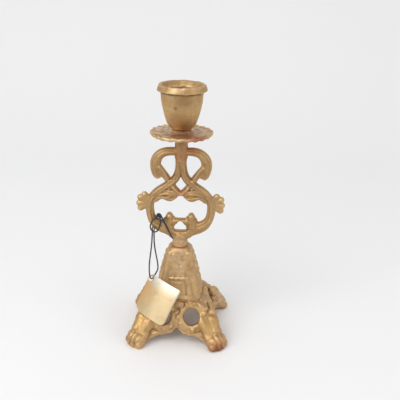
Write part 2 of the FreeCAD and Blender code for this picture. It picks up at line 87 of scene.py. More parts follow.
# Drip pan, half section from the hole out under the dish, round the edge and back to the boss.
PAN_SECTION = [
    (2.7, 153.8), (2.7, 148.5), (6.0, 148.5), (7.4, 148.55), (10.0, 148.7), (13.5, 148.85), (16.5, 149.0),
    (19.0, 149.3), (20.6, 149.7), (21.6, 150.4), (21.98, 151.2), (21.7, 151.9), (20.9, 152.2),
    (19.8, 152.15), (18.6, 151.95), (17.0, 151.75), (14.5, 151.6), (12.2, 151.75), (10.0, 152.2),
    (8.4, 152.8), (7.2, 153.4), (6.5, 153.7), (5.9, 153.8)]
PAN_AROUND = 220
# Crimps: how uneven they run (height, count and start), how they lean out from a radius, and the sizes
# and radii of their wave up and down and of their draw towards the middle.
PAN_UNEVEN = [(0.35, 3, 1.0), (0.25, 5, 0.0)]
PAN_LEAN = 0.35
PAN_LEAN_RADIUS = 18.0
PAN_LIFT = 0.30
PAN_LIFT_FADE = (14.0, 21.0)
PAN_DRAW = 0.009
PAN_DRAW_FADE = (18.0, 22.0)
# Lumps of the skin, height and spacing, and the radii over which they fade in round the cup's seat.
PAN_LUMPS = [(0.12, 3.4), (0.06, 1.4)]
PAN_SEED = 11
PAN_LUMPS_FADE = (7.0, 9.0)

# Grooves and ridges of the stem's right half, across and up, with width and depth (ridges negative).
STEM_STROKES = [
    ([(3.8, 136.2), (8.6, 136.2), (12.0, 135.0), (14.3, 132.8), (15.7, 130.0),
      (15.9, 127.6)], 0.70, 0.60),
    ([(5.0, 139.2), (9.4, 139.1), (13.2, 137.8), (16.6, 135.0), (19.3, 130.8), (19.9, 126.0),
      (18.8, 121.4)], 0.50, 0.50),
    ([(14.0, 127.4), (12.0, 123.4), (9.8, 119.6)], 0.80, -0.20),
    ([(5.4, 112.0), (2.8, 108.9), (0.4, 106.4)], 0.60, -0.40),
    ([(0.9, 131.0), (1.5, 124.0), (3.8, 118.5), (8.8, 114.0), (14.0, 110.1), (18.2, 106.2)], 0.55, 0.50),
    ([(4.6, 121.6), (6.4, 118.9), (10.2, 115.9), (13.6, 113.2)], 0.45, 0.45),
    ([(3.2, 115.6), (6.4, 112.7), (9.6, 110.5)], 0.45, 0.45),
    ([(16.4, 105.4), (19.2, 102.2), (20.4, 97.8), (20.6, 93.0), (19.5, 88.7), (16.8, 85.0),
      (12.8, 82.8)], 0.60, 0.70),
    ([(21.8, 103.2), (23.4, 98.5), (23.4, 93.5), (22.0, 87.2), (18.4, 81.8), (12.6, 78.6)], 0.5, 0.30),
    ([(18.6, 103.2), (15.0, 105.2), (11.0, 105.6), (7.8, 104.8), (4.6, 104.2)], 0.50, 0.50),
    ([(18.2, 104.8), (14.0, 107.5), (9.4, 108.6), (5.2, 107.6), (2.4, 106.4)], 0.50, 0.45),
    ([(17.4, 101.9), (14.4, 103.2), (11.4, 103.2), (8.6, 102.2), (5.6, 102.6)], 0.40, 0.40),
    ([(11.0, 81.6), (11.6, 85.0), (10.6, 87.4)], 0.55, 0.40),
    ([(5.2, 82.2), (5.3, 85.6), (5.6, 87.4)], 0.50, 0.30),
    ([(12.0, 80.2), (8.6, 78.9), (5.4, 77.0)], 0.45, 0.35),
    ([(0.0, 76.6), (3.0, 74.6), (4.6, 71.0)], 0.60, -0.45)]

# Rounded root of the neck between the scrolls, with its half sizes.
NECK_ROOT = (0.0, 0.0, 133.2)
NECK_ROOT_HALF = (4.2, 4.4, 6.0)
# Rings turned into the round foot and neck: height, width and depth.
STEM_RINGS = [(72.4, 0.9, 0.25), (146.6, 0.5, 0.25)]
STEM_RING_REACH = 7.0
# Where the chasing shows: on faces turned to front and back, between the round ends, outside the bores.
STEM_FACING = (0.15, 0.6)
STEM_ENDS = (67.5, 69.0, 147.5, 148.5)
STEM_BORE_RADIUS = 2.9
STEM_BORE_ENDS = (75.5, 141.0)
STEM_SMOOTHING = 4
STEM_SEED = 21

# Relief of one side of the base, across and up: line, width and depth (ridges negative).
SIDE_STROKES = [
    ([(-4.6, 62.6), (3.6, 62.8)], 0.7, -0.25),
    *(([(side * 4.6, 61.0), (side * 5.6, 47.6)], 0.8, -0.15) for side in (-1, 1)),
    ([(-5.6, 45.2), (-4.0, 45.9), (-2.2, 45.1), (-0.4, 46.0), (1.6, 45.3), (3.4, 46.1), (5.0, 45.6)], 0.9,
     -0.55),
    ([(0.2, 49.2), (0.0, 54.0)], 0.7, 0.25),
    ([(-1.6, 53.4), (1.6, 53.6)], 0.7, -0.20),
    ([(-3.6, 49.6), (3.2, 49.8)], 0.9, -0.12),
    ([(-2.6, 41.4), (2.6, 41.4), (3.2, 35.0), (-3.2, 35.0), (-2.6, 41.4)], 0.8, -0.15),
    ([(-8.4, 31.0), (0.0, 31.8), (8.4, 31.0)], 0.9, -0.70),
    ([(-7.0, 29.2), (-3.2, 28.2), (0.0, 25.4), (3.2, 28.2), (7.0, 29.2)], 0.7, 0.35),
    ([(0.0, 24.0), (0.0, 14.5)], 0.9, -0.5),
    *(([(side * 3.4, 9.6), (side * 8.0, 9.2), (side * 13.0, 9.0), (side * 17.0, 7.4)], 0.8, -0.35)
      for side in (-1, 1))]

# Leaf lobes up the middle of the left and right sides: height, half spread and radius.
LEAF_LOBES = [
    (60.0, 2.4, 2.7), (55.0, 2.9, 2.9), (49.6, 3.4, 3.2), (44.2, 4.0, 3.4), (38.8, 4.4, 3.5),
    (33.4, 5.0, 3.6)]
# The face that they lie on, by how much it comes out below its top, and the lobes' shares of their radius.
LEAF_FACE = 8.4
LEAF_FACE_TOP = 62.0
LEAF_FACE_SLOPE = 0.235
LEAF_SINK = 0.45
LEAF_WIDE = 1.1
LEAF_TALL = 1.5

# Round lights of the base: place on the front side, way they lean, and the collar round each.
LIGHT_ACROSS = 10.5
LIGHT_UP = 20.0
LIGHT_FACE = 21.7
LIGHT_LEAN = radians(25.0)
COLLAR_RADIUS = 7.7
COLLAR_THICK = 2.1
COLLAR_FORWARD = 0.5
# Beads on the collar: radius, how much it changes and how often, and how far out and forward they sit.
BEADS = 11
BEAD_RADIUS = 1.7
BEAD_CHANGE = 0.45
BEAD_CHANGES = 4
BEAD_OUT = 1.6
BEAD_FORWARD = 0.7
# Bed of each collar, which runs out into the legs and the apron, and how far it lies behind the collar.
BED_RADIUS = 10.0
BED_THICK = 1.9
BED_BACK = 0.9
# Metal over the meeting of the two beds: place and half sizes.
BRIDGE_CENTRE = (0.0, -18.3, 27.0)
BRIDGE_HALF = (5.5, 2.4, 3.4)

# Pads of the paws, on the diagonals: distance out, height and half sizes.
PAW_OUT = 40.0
PAW_UP = 5.6
PAW_HALF = (6.9, 8.4, 5.6)
DIAGONAL = sqrt(0.5)
# Knee, shin and thigh of the front right leg, turned towards the right side: place and half sizes.
LEG_FORMS = [
    ((25.1, -20.4, 16.0), (5.6, 5.4, 6.4)), ((28.0, -25.2, 10.4), (5.0, 4.8, 5.4)),
    ((24.6, -17.0, 20.2), (4.4, 4.2, 4.6))]
LEG_TURN = radians(-35.0)
# Lines between the toes, out along the leg and to its side, with the heights and reach where they show.
TOE_STROKES = [
    ([(39.4, side * 2.9), (43.0, side * 3.5), (48.0, side * 3.9)], 0.75, 0.7) for side in (-1, 0, 1)]
TOE_HEIGHTS = (0.4, 2.2, 10.0, 12.5)
TOE_REACH = (38.5, 42.5)
# Lines down the legs, on faces turned upwards below a height.
LEG_STROKES = [
    ([(20.0, side * 2.4), (27.0, side * 3.2), (33.0, side * 3.4)], 1.3, 0.45) for side in (-1, 1)]
LEG_FACING = (-0.1, 0.3)
LEG_TOP = 30.0
# Sunk panels that wear has softened: bottom, top, half width and how far they come forward again.
SOFT_PANELS = [(46.0, 62.6, 5.2, 0.60), (33.0, 44.0, 5.8, 0.35)]
SOFT_PANEL_FADE = 1.2
# Where the relief of a side shows: on faces turned to that side, this far in front of the middle.
SIDE_FACING = (0.1, 0.5)
SIDE_FROM = -4.0
BASE_TOP = 67.5
BASE_TOP_FADE = (67.5, 66.3)
BASE_SMOOTHING = 10
BASE_SEED = 31

# Arms from the buds to the middle of the web below them, and the folded sides of the buds.
WEB_ARM_HALF = (1.6, 2.6, 1.4)
WEB_ARM = [(across, up, WEB_ARM_HALF) for across, up in ((5.0, 83.0), (3.4, 84.6), (1.8, 85.8), (0.0, 86.5))]
BUD_SIDE_HALF = (2.2, 2.7, 2.6)
BUD_SIDES = [
    (across, up, BUD_SIDE_HALF) for across, up in ((10.2, 86.6), (6.0, 86.8), (8.1, 89.0), (4.6, 85.4))]
# How far the tops of the buds come down, and where they lie across and up.
BUD_DROP = 1.2
BUD_ACROSS = (4.2, 5.2, 11.8, 12.6)
BUD_RISE = (86.5, 91.5)
BUD_TOP = 96.0
# Rise of the web's underside to a peak between the buds, and where it fades out across and up.
WEB_PEAK = 1.2
WEB_ACROSS = (3.6, 0.0)
WEB_RISE = (87.4, 85.4)
WEB_BOTTOM = 82.0
# Metal that closes the narrow gaps between leaves, scrolls and buds: across, up and half sizes.
STEM_FILLS = [
    (8.0, 104.9, (3.8, 3.9, 1.6)), (8.4, 111.2, (2.4, 3.8, 1.5)), (15.6, 125.4, (2.0, 3.6, 3.4)),
    (5.2, 84.7, (1.4, 3.1, 1.4)), (5.2, 88.0, (1.5, 2.6, 1.9))]

# How far the skin over the parts of a casting gives way in one round of smoothing.
SKIN_SMOOTHING = 0.5
# Widths from its line at which a groove or ridge has run out.
STROKE_REACH = 3
# Layers of the uneven cast skin: share of its height and spacing.
CAST_LUMPS = [(1.0, 5.0), (0.6, 2.2), (0.35, 1.0)]
# Hollows: rounds of smoothing that find them and even them out, and the depth that counts as full.
HOLLOW_ROUNDS = 6
HOLLOW_EVENING = 2
HOLLOW_DEPTH = 0.22
# Numbers that mix a cell's place and the seed into a repeatable noise.
MIX_AXES = (73856093, 19349663, 83492791)
MIX_SEED = 2654435
MIX_SCALE = 1103515245
MIX_SHIFT = 12345
MIX_FOLD = 13
MIX_AGAIN = 1274126177
MIX_MOST = 0x7FFFFFFF

# Coloured patches under the wear and stained spots over all, a few of them painted shade: place, reach, tone
# and amount.
CUP_PATCHES = [((-12.0, -8.0, 170.0), 9.0, "yellow", 0.35), ((-6.0, -15.0, 182.0), 10.0, "wear_and_highlight", 0.8)]
CUP_STAINS_AND_SHADOW = [
    # First entry: painted shadow, brown over the cup's foot where it meets the pan.
    ((2.0, -10.0, 155.5), 10.0, "tarnish_and_shade", 0.65), ((0.0, 10.0, 181.0), 9.0, "dull_and_shade", 0.5),
    ((-3.4, -13.2, 170.6), 2.2, "tarnish_and_shade", 0.6)]
PAN_PATCHES = [((-6.0, 2.0, 151.0), 80.0, "dusty", 1.0)]
PAN_STAINS = [
    ((2.0, -11.0, 152.0), 10.0, "copper", 0.3), ((12.0, -18.0, 151.0), 15.0, "copper", 0.9),
    ((15.0, -16.0, 151.0), 10.0, "tarnish_and_shade", 0.3), ((-16.0, -14.0, 151.0), 10.0, "dull_and_shade", 0.45)]
STEM_PATCHES_AND_SHADE = [
    ((-26.0, 0.0, 100.0), 9.0, "wear_and_highlight", 0.4), ((27.0, 0.0, 100.0), 9.0, "wear_and_highlight", 0.4),
    # Painted shade: the broad patch of dulled brass darkens the whole stem, which gets less light than the
    # base.
    ((0.0, 0.0, 118.0), 48.0, "dull_and_shade", 0.6), ((0.0, -5.0, 70.0), 8.0, "dusty", 0.5)]
STEM_STAINS = [
    ((0.0, 0.0, 147.0), 8.0, "tarnish_and_shade", 0.5), ((0.0, -3.0, 137.0), 10.0, "copper", 0.45),
    ((9.0, -3.0, 138.5), 6.0, "copper", 0.4), ((0.0, -3.0, 108.0), 7.0, "copper", 0.4)]
BASE_PATCHES = [
    ((0.0, -12.0, 36.0), 70.0, "dusty", 0.2), ((0.0, -10.0, 60.0), 13.0, "dusty", 0.35),
    ((0.0, -14.0, 46.0), 24.0, "wear_and_highlight", 0.3), ((28.0, 24.0, 14.0), 20.0, "dusty", 0.6),
    ((22.0, -24.0, 18.0), 13.0, "yellow", 0.6), ((-26.0, -26.0, 16.0), 12.0, "yellow", 0.4),
    ((15.0, -15.0, 40.0), 9.0, "yellow", 0.4), ((10.5, -24.0, 27.0), 9.0, "yellow", 0.5)]
BASE_STAINS = [
    ((30.5, -34.5, -1.0), 14.0, "copper", 1.0), ((31.0, -35.5, -1.0), 11.0, "tarnish_and_shade", 0.8),
    ((0.0, -6.0, 67.5), 4.0, "copper", 0.5), ((10.5, -20.0, 29.0), 8.0, "dull_and_shade", 0.5),
    ((23.0, -24.0, 20.0), 9.0, "dull_and_shade", 0.5)]
# Share of the brown in the hollows of stem and base.
STAND_GRIME = 0.6

# Broad, middle and fine clouds of the brass: spacing and shift of the pattern.
BRASS_CLOUDS = [(11.0, 0.0), (3.2, 0.3), (0.7, 0.7)]
# Ranges of cloud or hollow over which each tone comes in, with its least and most if not 0 and 1.
GOLD_RANGE = (0.38, 0.66)
DULL_RANGE = (0.52, 0.72, 0.0, 0.55)
PATCH_RANGE = (0.34, 0.58)
STAIN_AND_SHADE_RANGE = (0.22, 0.48, 0.3, 1.0)
GROOVE_RANGE = (0.12, 0.85)
DIRT_RANGE = (0.25, 0.6, 0.45, 0.9)
EDGE_RANGE = (-0.2, -0.8)
WEAR_AND_HIGHLIGHT_RANGE = (0.35, 0.6, 0.2, 0.8)
PIT_RANGE = (0.68, 0.76, 0.0, 0.7)

# Routes of the cord, the same points as in the CAD model.
HITCH_ROUTE = [
    (-19.65, -5.2, 79.7), (-19.9, -3.4, 80.1), (-20.3, 0.0, 79.2), (-19.3, 4.3, 80.9),
    (-17.6, 5.3, 85.2), (-16.4, 3.6, 88.9), (-15.6, 0.2, 89.4), (-16.4, -3.6, 89.4),
    (-19.2, -4.9, 87.7), (-21.4, -5.0, 83.6), (-20.7, -4.7, 79.8), (-18.0, -4.5, 77.9),
    (-15.5, -4.6, 79.7), (-14.1, -4.9, 83.9), (-13.6, -4.8, 87.6), (-13.9, -3.2, 89.6),
    (-14.1, 0.2, 89.2), (-14.8, 3.6, 88.2), (-16.0, 5.3, 84.6), (-17.9, 4.5, 79.9),
    (-19.1, 0.0, 78.1), (-18.6, -3.4, 79.4), (-18.4, -5.15, 79.7)]
DROP_ROUTE = [
    (-19.6, -5.7, 79.2), (-19.7, -6.4, 74.7), (-19.9, -7.4, 69.4), (-20.6, -8.7, 63.0),
    (-21.3, -10.6, 55.8), (-21.1, -12.9, 49.3), (-20.19, -14.23, 45.92), (-18.87, -11.73, 44.42),
    (-17.2, -10.2, 47.2), (-14.9, -9.9, 51.4), (-15.5, -9.1, 56.9), (-16.85, -8.2, 63.1),
    (-18.0, -7.2, 69.3), (-18.3, -6.4, 74.7), (-18.4, -5.7, 79.2)]
TAILS_ROUTE = [
    (-5.6, -5.4, 75.3), (-7.0, -5.6, 78.0), (-8.8, -5.7, 82.2), (-10.9, -5.5, 86.6),
    (-12.9, -4.6, 90.0), (-14.4, -3.3, 92.3), (-16.4, -3.5, 92.0), (-16.7, -4.8, 90.2),
    (-15.1, -5.8, 88.9), (-12.9, -6.4, 89.2), (-10.8, -6.8, 86.4), (-8.4, -7.0, 81.4),
    (-6.4, -6.9, 77.4), (-4.8, -6.7, 74.7)]
KNOT_CENTRE = (-14.6, -3.0, 90.65)
KNOT_RADIUS = 0.85
# The knot's line: points, turns and waves in one round, and the shares of its radius that it waves by.
KNOT_POINTS = 12
KNOT_TURNS = 2
KNOT_WAVES = 3
KNOT_WAVE = 0.45
KNOT_DEPTH = 0.55

# Card tag: hole, the way it faces, size and corner radii from the corner by the hole, clockwise.
TAG_HOLE = (-19.49, -12.9, 45.12)
TAG_YAW = radians(28.0)
TAG_LEAN = radians(28.0)
TAG_SKEW = radians(13.0)
TAG_WIDTH = 27.8
TAG_LENGTH = 28.6
TAG_HOLE_FROM_SIDE = 2.7
TAG_HOLE_FROM_TOP = 3.3
TAG_HOLE_RADIUS = 1.3
TAG_CORNERS = (5.0, 0.8, 3.4, 8.0)
TAG_CURL = 60.0
TAG_THICK = 0.4
# Radii round the hole over which the card's cells give way to it, and the least distance from it.
TAG_HOLE_REACH = 3
TAG_HOLE_LEAST = 1e-6
# Painted darker, warmer reflection in one corner of the foil, across and up from the hole, and its reach.
TAG_SHADED_REFLECTION = (-8.0, -9.0)
TAG_SHADED_REFLECTION_REACH = 23.0
# Painted highlight in a band along the upper edge: places across, height above the hole and reach.
TAG_HIGHLIGHT_ALONG = (6.0, 10.5, 15.0, 19.5, 23.5)
TAG_HIGHLIGHT_UP = 2.6
TAG_HIGHLIGHT_REACH = 9.5

# Steel of the fixings, dark and pale.
STEEL_DARK = (0.30, 0.29, 0.27, 1.0)
STEEL_PALE = (0.46, 0.45, 0.43, 1.0)

# Floor that sweeps up to a backdrop: half width, front edge, back, height and radius of the bend.
FLOOR_HALF = 4000.0
FLOOR_FRONT = -260.0
FLOOR_BACK = 900.0
FLOOR_HEIGHT = 2600.0
FLOOR_BEND = 500.0
FLOOR_STEPS = 12
FLOOR_SHADE = 0.985
# How far up the light from below turns into the light from above.
SKY_RANGE = (-0.25, 0.3)
# Soft lamps: name, place, size and the setting that holds the power; they look at one point.
LAMPS = [
    ("key_lamp", (-550.0, -750.0, 950.0), 900.0, "key"),
    ("side_lamp", (900.0, -500.0, 600.0), 600.0, "fill"),
    ("card_lamp", (-760.0, -700.0, 420.0), 450.0, "card")]
LAMP_AIM = (0.0, 0.0, 80.0)

# The photograph's camera in the frame of the object.
CAMERA_PLACE = (26.615, -414.728, 261.428)
CAMERA_TURN = 0.031
CAMERA_TILT = radians(69.03)
CAMERA_ROLL = 0.026
CAMERA_LENS = 56.41
CAMERA_SENSOR = 36.0
CAMERA_CLIP = 10.0


def metres(place):
    """A place in millimetres brought to metres."""
    return tuple(axis * MM for axis in place)


def link(name, data):
    """A new object in the scene's own collection."""
    made = bpy.data.objects.new(name, data)
    bpy.context.scene.collection.objects.link(made)
    return made


def solid(name, points, faces):
    """A smooth shaded mesh object from points in millimetres."""
    mesh = bpy.data.meshes.new(name)
    mesh.from_pydata((np.asarray(points) * MM).tolist(), [], faces)
    mesh.validate()
    mesh.shade_smooth()
    return link(name, mesh)


def settle(piece, slot, body, *nodes):
    """Ties a finished piece to its body and hides the CAD nodes that it stands for; the material slot is not
    used.
    """
    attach(piece, body)
    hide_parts(*nodes)


def bake_modifiers(piece):
    """Makes the piece's modifiers part of its mesh."""
    graph = bpy.context.evaluated_depsgraph_get()
    old = piece.data
    piece.data = bpy.data.meshes.new_from_object(piece.evaluated_get(graph))
    piece.data.shade_smooth()
    piece.modifiers.clear()
    bpy.data.meshes.remove(old)


def round_off(piece):
    """Rounds a turned piece by one step of subdivision."""
    subdivide = piece.modifiers.new("Round", "SUBSURF")
    subdivide.levels = subdivide.render_levels = 1
    bake_modifiers(piece)


def cast_together(name, parts, voxel, smoothing):
    """One cast skin over overlapping closed parts, with soft inside corners."""
    points, faces, start = [], [], 0
    for part_points, part_faces in parts:
        points.append(np.asarray(part_points))
        faces.extend([[start + corner for corner in face] for face in part_faces])
        start += len(part_points)
    piece = solid(name, np.concatenate(points), faces)
    remesh = piece.modifiers.new("Skin", "REMESH")
    remesh.mode = "VOXEL"
    remesh.voxel_size = voxel
    smooth = piece.modifiers.new("Soften", "SMOOTH")
    smooth.factor = SKIN_SMOOTHING
    smooth.iterations = smoothing
    bake_modifiers(piece)
    return piece


def mesh_points(mesh):
    """Points of a mesh in millimetres."""
    points = np.empty(len(mesh.vertices) * 3)
    mesh.vertices.foreach_get("co", points)
    return points.reshape(-1, 3) / MM


def node_part(node):
    """Points in millimetres and faces of a CAD node."""
    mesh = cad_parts[node].data
    return mesh_points(mesh), [list(face.vertices) for face in mesh.polygons]


def spin_matrix(turn):
    """A turn about the upright axis."""
    return np.array([[cos(turn), -sin(turn), 0.0], [sin(turn), cos(turn), 0.0], [0.0, 0.0, 1.0]])


def lathe(section, around):
    """Points and faces of a form turned from a half section that runs from axis to axis, or closes."""
    points, faces, rows = [], [], []
    for radius, up in section:
        if radius == 0.0:
            rows.append([len(points)])
            points.append((0.0, 0.0, up))
            continue
        rows.append(list(range(len(points), len(points) + around)))
        for step in range(around):
            turn = 2 * pi * step / around
            points.append((radius * cos(turn), radius * sin(turn), up))
    pairs = list(zip(rows, rows[1:]))
    if len(rows[0]) > 1:
        pairs.append((rows[-1], rows[0]))
    for low, high in pairs:
        for step in range(around):
            follow = (step + 1) % around
            corners = [low[step % len(low)], low[follow % len(low)]]
            corners += [high[follow % len(high)], high[step % len(high)]]
            faces.append(list(dict.fromkeys(corners)))
    return np.array(points), faces


def ball_part(centre, half, turn=0.0, rings=10, around=16):
    """An egg: half sizes along, across and up, turned about the upright axis."""
    rises = [pi * ring / rings - pi / 2 for ring in range(1, rings)]
    section = [(0.0, -1.0), *((cos(rise), sin(rise)) for rise in rises), (0.0, 1.0)]
    points, faces = lathe(section, around)
    return points * half @ spin_matrix(turn).T + centre, faces


def ring_part(centre, facing, radius, thick, around=48, about=12):
    """A round collar about a facing direction of length 1."""
    wide = np.cross(facing, (0.0, 0.0, 1.0))
    wide /= np.linalg.norm(wide)
    rolls = [2 * pi * step / about for step in range(about)]
    section = [(radius + thick * cos(roll), thick * sin(roll)) for roll in rolls]
    points, faces = lathe(section, around)
    return points @ np.array([wide, np.cross(wide, facing), facing]) + centre, faces


def quarter_turned(part, quarter):
    """The part turned about the upright axis by quarters of a circle."""
    points, faces = part
    return points @ spin_matrix(pi / 2 * quarter).T, faces


def surface(piece):
    """Points in millimetres and normals of a mesh piece."""
    mesh = piece.data
    normals = np.empty(len(mesh.vertices) * 3, dtype=np.float32)
    mesh.vertex_normals.foreach_get("vector", normals)
    return mesh_points(mesh), normals.reshape(-1, 3).astype(float)


def reshape(piece, points):
    """Gives a mesh piece new points in millimetres."""
    piece.data.vertices.foreach_set("co", (points * MM).ravel())
    piece.data.update()


def distance_to_line(points, line):
    """Distance of each point from a line of straight runs, in as many axes as both have."""
    line = np.asarray(line, dtype=float)
    nearest = np.full(len(points), np.inf)
    for start, end in zip(line, line[1:]):
        run = end - start
        share = np.clip((points - start) @ run / (run @ run), 0.0, 1.0)
        nearest = np.minimum(nearest, np.linalg.norm(points - start - share[:, None] * run, axis=1))
    return nearest


def carved(points, strokes):
    """How far strokes sink each point; each has its line, width and depth, which is negative for a ridge."""
    sunk = np.zeros(len(points))
    for line, width, depth in strokes:
        reach = STROKE_REACH * width
        low, high = np.min(line, axis=0) - reach, np.max(line, axis=0) + reach
        near = np.all((points > low) & (points < high), axis=1)
        sunk[near] += depth * np.exp(-(distance_to_line(points[near], line) / width) ** 2)
    return sunk


def eased(values, low, high):
    """A smooth step from 0 at low to 1 at high."""
    share = np.clip((values - low) / (high - low), 0.0, 1.0)
    return share * share * (3 - 2 * share)


def band(values, start, full, fading, end):
    """A smooth rise from 0 at start to 1 at full, and back from 1 at fading to 0 at end."""
    return eased(values, start, full) * eased(values, end, fading)


def polar(points):
    """Distance of each point from the upright axis and its turn round it."""
    return np.hypot(points[:, 0], points[:, 1]), np.arctan2(points[:, 1], points[:, 0])


def waves(turn, layers):
    """Waves round the upright axis, each with its height, count and start."""
    return sum(height * np.sin(count * turn + start) for height, count, start in layers)


def cast_noise(points, size, seed):
    """Smooth lumps between -1 and 1 with the given spacing, the same on every run."""
    cell = points / size
    corner = np.floor(cell).astype(np.int64)
    part = cell - corner
    part = part * part * (3 - 2 * part)
    total = np.zeros(len(points))
    for offset in product((0, 1), repeat=3):
        grid = corner + np.array(offset)
        mixed = np.bitwise_xor.reduce(grid * MIX_AXES, axis=1) ^ seed * MIX_SEED
        mixed = (mixed * MIX_SCALE + MIX_SHIFT) & MIX_MOST
        mixed = (mixed ^ mixed >> MIX_FOLD) * MIX_AGAIN & MIX_MOST
        weight = np.prod(np.where(np.array(offset), part, 1 - part), axis=1)
        total += weight * (mixed / (MIX_MOST // 2) - 1)
    return total


def lumps(points, layers, seed):
    """Layers of lumps, each with its height and spacing."""
    return sum(height * cast_noise(points, size, seed + layer) for layer, (height, size) in enumerate(layers))


def mark_hollows(piece):
    """Stores how deep each point lies in a hollow, from -1 on edges to 1 in grooves."""
    points, normals = surface(piece)
    mesh = piece.data
    edges = np.empty(len(mesh.edges) * 2, dtype=np.int32)
    mesh.edges.foreach_get("vertices", edges)
    one, other = edges.reshape(-1, 2).T
    count = np.bincount(one, minlength=len(points)) + np.bincount(other, minlength=len(points))
    count = np.maximum(count, 1)

    def around(values):
        """Mean of each point's neighbours."""
        total = np.bincount(one, values[other], len(points)) + np.bincount(other, values[one], len(points))
        return total / count

    softened = points
    for _ in range(HOLLOW_ROUNDS):
        softened = np.stack([around(softened[:, axis]) for axis in range(3)], axis=1)
    deep = np.einsum("ij,ij->i", softened - points, normals)
    for _ in range(HOLLOW_EVENING):
        deep = around(deep)
    deep = np.clip(deep / HOLLOW_DEPTH, -1.0, 1.0)
    layer = mesh.attributes.new("hollow", "FLOAT", "POINT")
    layer.data.foreach_set("value", deep.astype(np.float32))


def roughen(piece, amount, seed):
    """The uneven skin of a sand casting."""
    points, normals = surface(piece)
    reshape(piece, points + normals * (amount * lumps(points, CAST_LUMPS, seed))[:, None])


class Nodes:
    """Shorthand for the nodes of one material, or of the world."""

    def __init__(self, owner, shader="Principled BSDF"):
        self.owner = owner
        self.owner.use_nodes = True
        self.tree = owner.node_tree
        self.shader = self.tree.nodes[shader]
        self.coordinates = self.tree.nodes.new("ShaderNodeTexCoord").outputs
        self.place = self.coordinates["Object"]

    def fill(self, socket, value):
        """Gives a socket a value or another node's output."""
        if isinstance(value, bpy.types.NodeSocket):
            self.tree.links.new(value, socket)
        else:
            socket.default_value = value

    def add(self, kind, inputs=(), **settings):
        """A node with its settings, whose inputs are values or other nodes' outputs."""
        node = self.tree.nodes.new(kind)
        for key, value in settings.items():
            setattr(node, key, value)
        for key, value in dict(inputs).items():
            self.fill(node.inputs[key], value)
        return node

    def noise(self, size, detail=4.0, rough=0.55, shift=0.0):
        """Noise lumps of a size in millimetres."""
        moved = self.add("ShaderNodeVectorMath", {0: self.place, 1: (shift, shift, shift)}, operation="ADD")
        node = self.add("ShaderNodeTexNoise", {
            "Vector": moved.outputs[0], "Scale": 1.0 / (size * MM), "Detail": detail, "Roughness": rough})
        return node.outputs["Fac"]

    def span(self, value, low, high, start=0.0, end=1.0):
        """A value brought from one range to another, smoothly."""
        node = self.add("ShaderNodeMapRange", {
            "Value": value, "From Min": low, "From Max": high, "To Min": start, "To Max": end},
            interpolation_type="SMOOTHSTEP")
        return node.outputs["Result"]

    def math(self, operation, one, other):
        """One calculation with two values."""
        return self.add("ShaderNodeMath", {0: one, 1: other}, operation=operation).outputs[0]

    def mix(self, share, one, other):
        """Two colours mixed."""
        node = self.add("ShaderNodeMix", {"Factor": share, "A": one, "B": other}, data_type="RGBA")
        return node.outputs["Result"]

    def near(self, place, reach):
        """1 at a place of the object, given in millimetres, falling to 0 at a reach."""
        far = self.add("ShaderNodeVectorMath", {0: self.place, 1: metres(place)}, operation="DISTANCE")
        return self.span(far.outputs["Value"], 0.0, reach * MM, 1.0, 0.0)

    def set(self, socket, value):
        """Gives a socket of the shader a value or another node's output."""
        self.fill(self.shader.inputs[socket], value)

    def bump(self, height, strength, depth):
        """Small relief on the shader, its depth in millimetres."""
        node = self.add("ShaderNodeBump", {"Height": height, "Strength": strength, "Distance": depth * MM})
        self.set("Normal", node.outputs["Normal"])


def brass(name, patches, stains_and_shade, grime=1.0):
    """Cast brass: golden tan with coloured patches, brown in the hollows, paler rubbed edges that also carry
    painted highlights, and stained spots over all; some patches and spots are painted shade.
    """
    look = bpy.context.scene.candlestick_brass
    nodes = Nodes(bpy.data.materials.new(name))
    broad, middle, fine = (nodes.noise(size, shift=shift) for size, shift in BRASS_CLOUDS)

    def clouded(colour, spots, cloud_range):
        """The colour with tinted spots that the middle clouds break up."""
        for place, reach, tone, amount in spots:
            cloud = nodes.math("MULTIPLY", nodes.near(place, reach), nodes.span(middle, *cloud_range))
            colour = nodes.mix(nodes.math("MULTIPLY", cloud, amount), colour, getattr(look, tone))
        return colour

    colour = nodes.mix(nodes.span(broad, *GOLD_RANGE), look.tan, look.gold)
    colour = nodes.mix(nodes.span(middle, *DULL_RANGE), colour, look.dull_and_shade)
    # Patches under the wear; the broad dulled one over the stem is painted shade.
    colour = clouded(colour, patches, PATCH_RANGE)
    depth = nodes.add("ShaderNodeAttribute", attribute_name="hollow").outputs["Fac"]
    dirt = nodes.math("MULTIPLY", nodes.span(depth, *GROOVE_RANGE), nodes.span(broad, *DIRT_RANGE))
    colour = nodes.mix(nodes.math("MULTIPLY", dirt, grime), colour, look.tarnish_and_shade)
    # Paler brass on raised edges: partly rubbed wear, partly painted highlight.
    wear_and_highlight = nodes.math("MULTIPLY", nodes.span(depth, *EDGE_RANGE), nodes.span(middle, *WEAR_AND_HIGHLIGHT_RANGE))
    # Spots over all; the brown over the cup's foot among them is painted shadow.
    colour = clouded(nodes.mix(wear_and_highlight, colour, look.wear_and_highlight), stains_and_shade, STAIN_AND_SHADE_RANGE)
    pits = nodes.noise(size=1.3, detail=2.0, rough=0.5, shift=1.9)
    nodes.set("Base Color", nodes.mix(nodes.span(pits, *PIT_RANGE), colour, look.tarnish_and_shade))
    nodes.set("Metallic", 1.0)
    smooth, rough = look.roughness - 0.05, look.roughness + 0.12
    nodes.set("Roughness", nodes.span(fine, low=0.3, high=0.7, start=smooth, end=rough))
    grain = nodes.math("ADD", nodes.math("MULTIPLY", fine, 0.6), middle)
    nodes.bump(grain, strength=0.35, depth=0.25)
    return nodes.owner


def paint(piece, material):
    """Gives a piece one material."""
    piece.data.materials.clear()
    piece.data.materials.append(material)


ToneProperty = functools.partial(FloatVectorProperty, subtype="COLOR", size=4)


